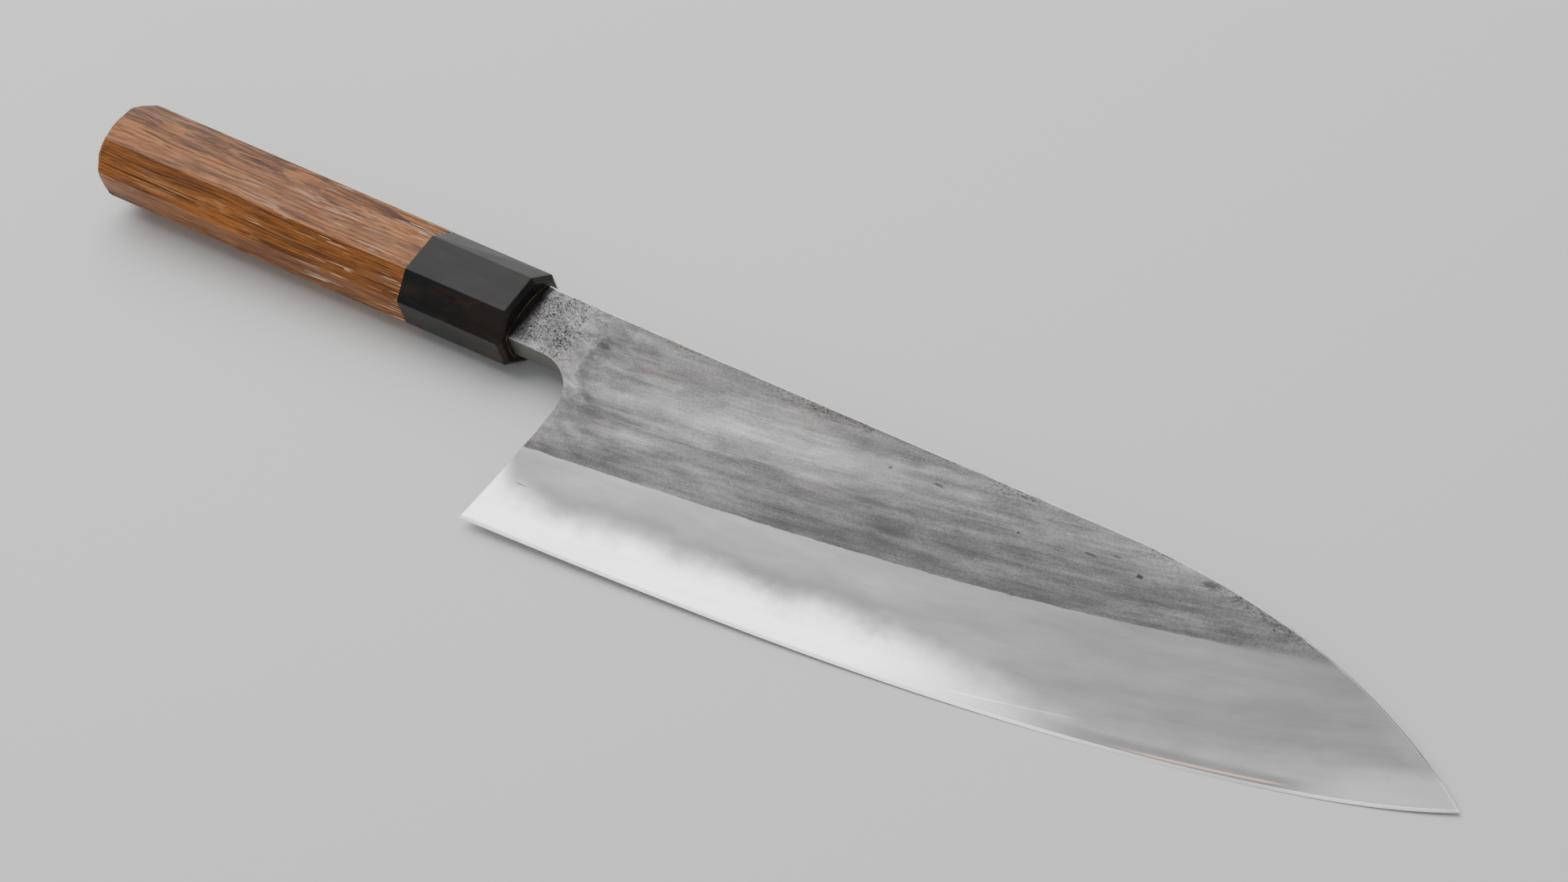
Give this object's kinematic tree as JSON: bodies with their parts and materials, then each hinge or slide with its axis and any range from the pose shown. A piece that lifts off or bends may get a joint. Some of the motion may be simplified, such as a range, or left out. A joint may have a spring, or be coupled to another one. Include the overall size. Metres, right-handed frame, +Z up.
{
  "type": "chef knife",
  "caption": "Laminated chef knife of Japanese pattern: a tall wide-bevel blade glued into an octagonal wooden handle with a black horn ferrule.",
  "frame": {"origin": "bottom centre of the whole knife's box as it lies on its left side, at the level of the handle's lowest edge", "axes": "+X along the handle's axis from the butt to the blade's tip, +Y towards the back of the blade, +Z up out of the blade's right face"},
  "size_m": [0.3864, 0.0648, 0.0199],
  "materials": {
    "core_steel": "hard carbon steel, fine lengthwise polish, bright along the edge",
    "clad_iron": "soft iron, forged and scraped dark above the grind line, misty grey polish on the bevel, pitted at the neck",
    "handle_wood": "oiled reddish-brown hardwood, straight grain with dark figure",
    "black_horn": "polished black horn with faint brown marbling",
    "seal_resin": "black resin fill",
    "dowel_wood": "plain pale hardwood, unseen",
    "cured_glue": "amber epoxy, unseen"
  },
  "bodies": {
    "root": {"core_steel": "core_steel", "cladding_right": "clad_iron", "cladding_left": "clad_iron", "handle_body": "handle_wood", "ferrule": "black_horn", "neck_seal": "seal_resin", "tang_dowel": "dowel_wood", "tang_adhesive": "cured_glue"}
  },
  "joints": []
}
